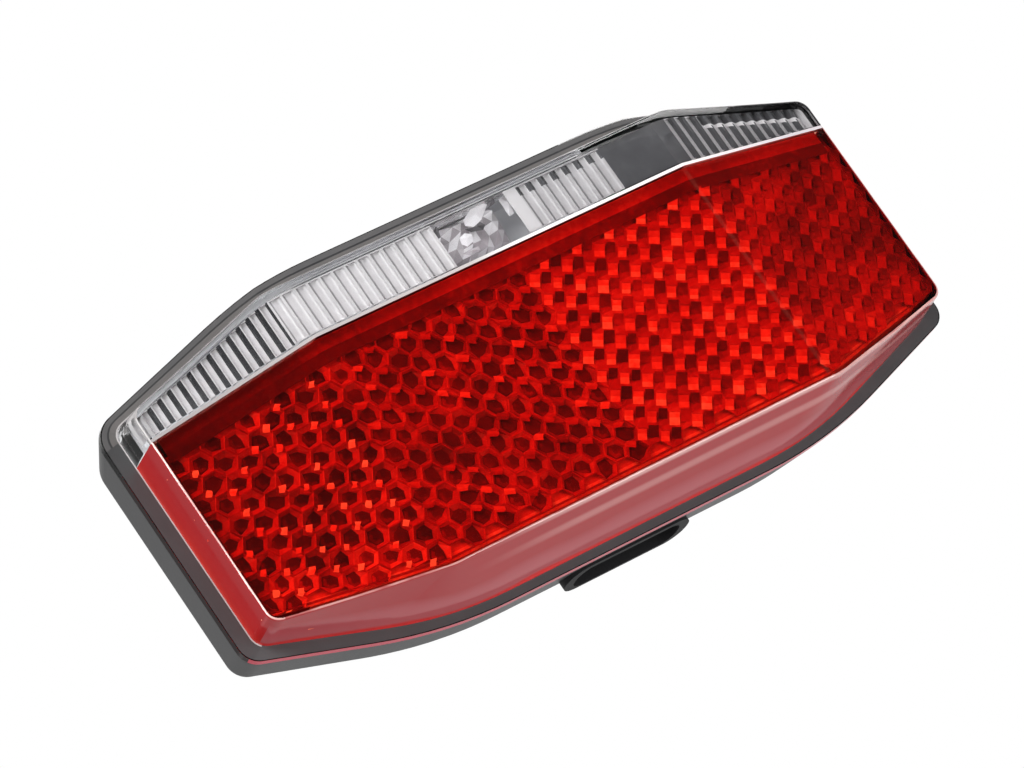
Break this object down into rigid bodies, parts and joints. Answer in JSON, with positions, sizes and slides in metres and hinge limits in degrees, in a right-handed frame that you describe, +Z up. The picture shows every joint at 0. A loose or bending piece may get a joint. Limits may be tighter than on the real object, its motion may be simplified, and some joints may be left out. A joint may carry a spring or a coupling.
{
  "type": "bicycle rear light",
  "caption": "Rear light for a bicycle carrier: folded eight-sided red lens with reflex panels, a clear fluted stand-light window above, black tub, rear studs and a cable spout below",
  "frame": {"origin": "middle of the stud pattern, on the flat back of the housing", "axes": "+X along the lamp, to the right seen from the lens side; +Y out of the back, along the studs; +Z up, the clear window above the red face"},
  "size_m": [0.1166, 0.0349, 0.051],
  "materials": {
    "black_shell": "satin moulded black",
    "red_acrylic": "polished transparent red",
    "clear_acrylic": "polished clear",
    "red_reflex": "polished prisms",
    "white_tray": "smooth white",
    "black_rubber": "matt",
    "zinc_steel": "zinc plated",
    "spring_steel": "phosphated",
    "plated_tab": "tin plated",
    "board_laminate": "solder mask",
    "led_package": "clear over white",
    "capacitor_sleeve": "shrink sleeve",
    "capacitor_can": "bare can",
    "black_epoxy": "moulded epoxy"
  },
  "bodies": {
    "root": {"housing": "black_shell", "terminal_block": "black_shell", "terminal_live": "plated_tab", "terminal_ground": "plated_tab", "mounting_studs": "zinc_steel", "stud_seals": "black_rubber", "stud_clips": "spring_steel", "lens_gasket": "black_rubber", "lens_red": "red_acrylic", "lens_clear": "clear_acrylic", "reflector_prisms": "red_reflex", "circuit_board": "board_laminate", "board_screws": "zinc_steel", "led": "led_package", "standlight_capacitor": "capacitor_sleeve", "smoothing_capacitor": "capacitor_can", "rectifier": "black_epoxy", "regulator_chip": "black_epoxy", "suppressor_diode": "black_epoxy", "resistors": "black_epoxy", "light_guide": "clear_acrylic", "window_tray": "white_tray"}
  },
  "joints": []
}
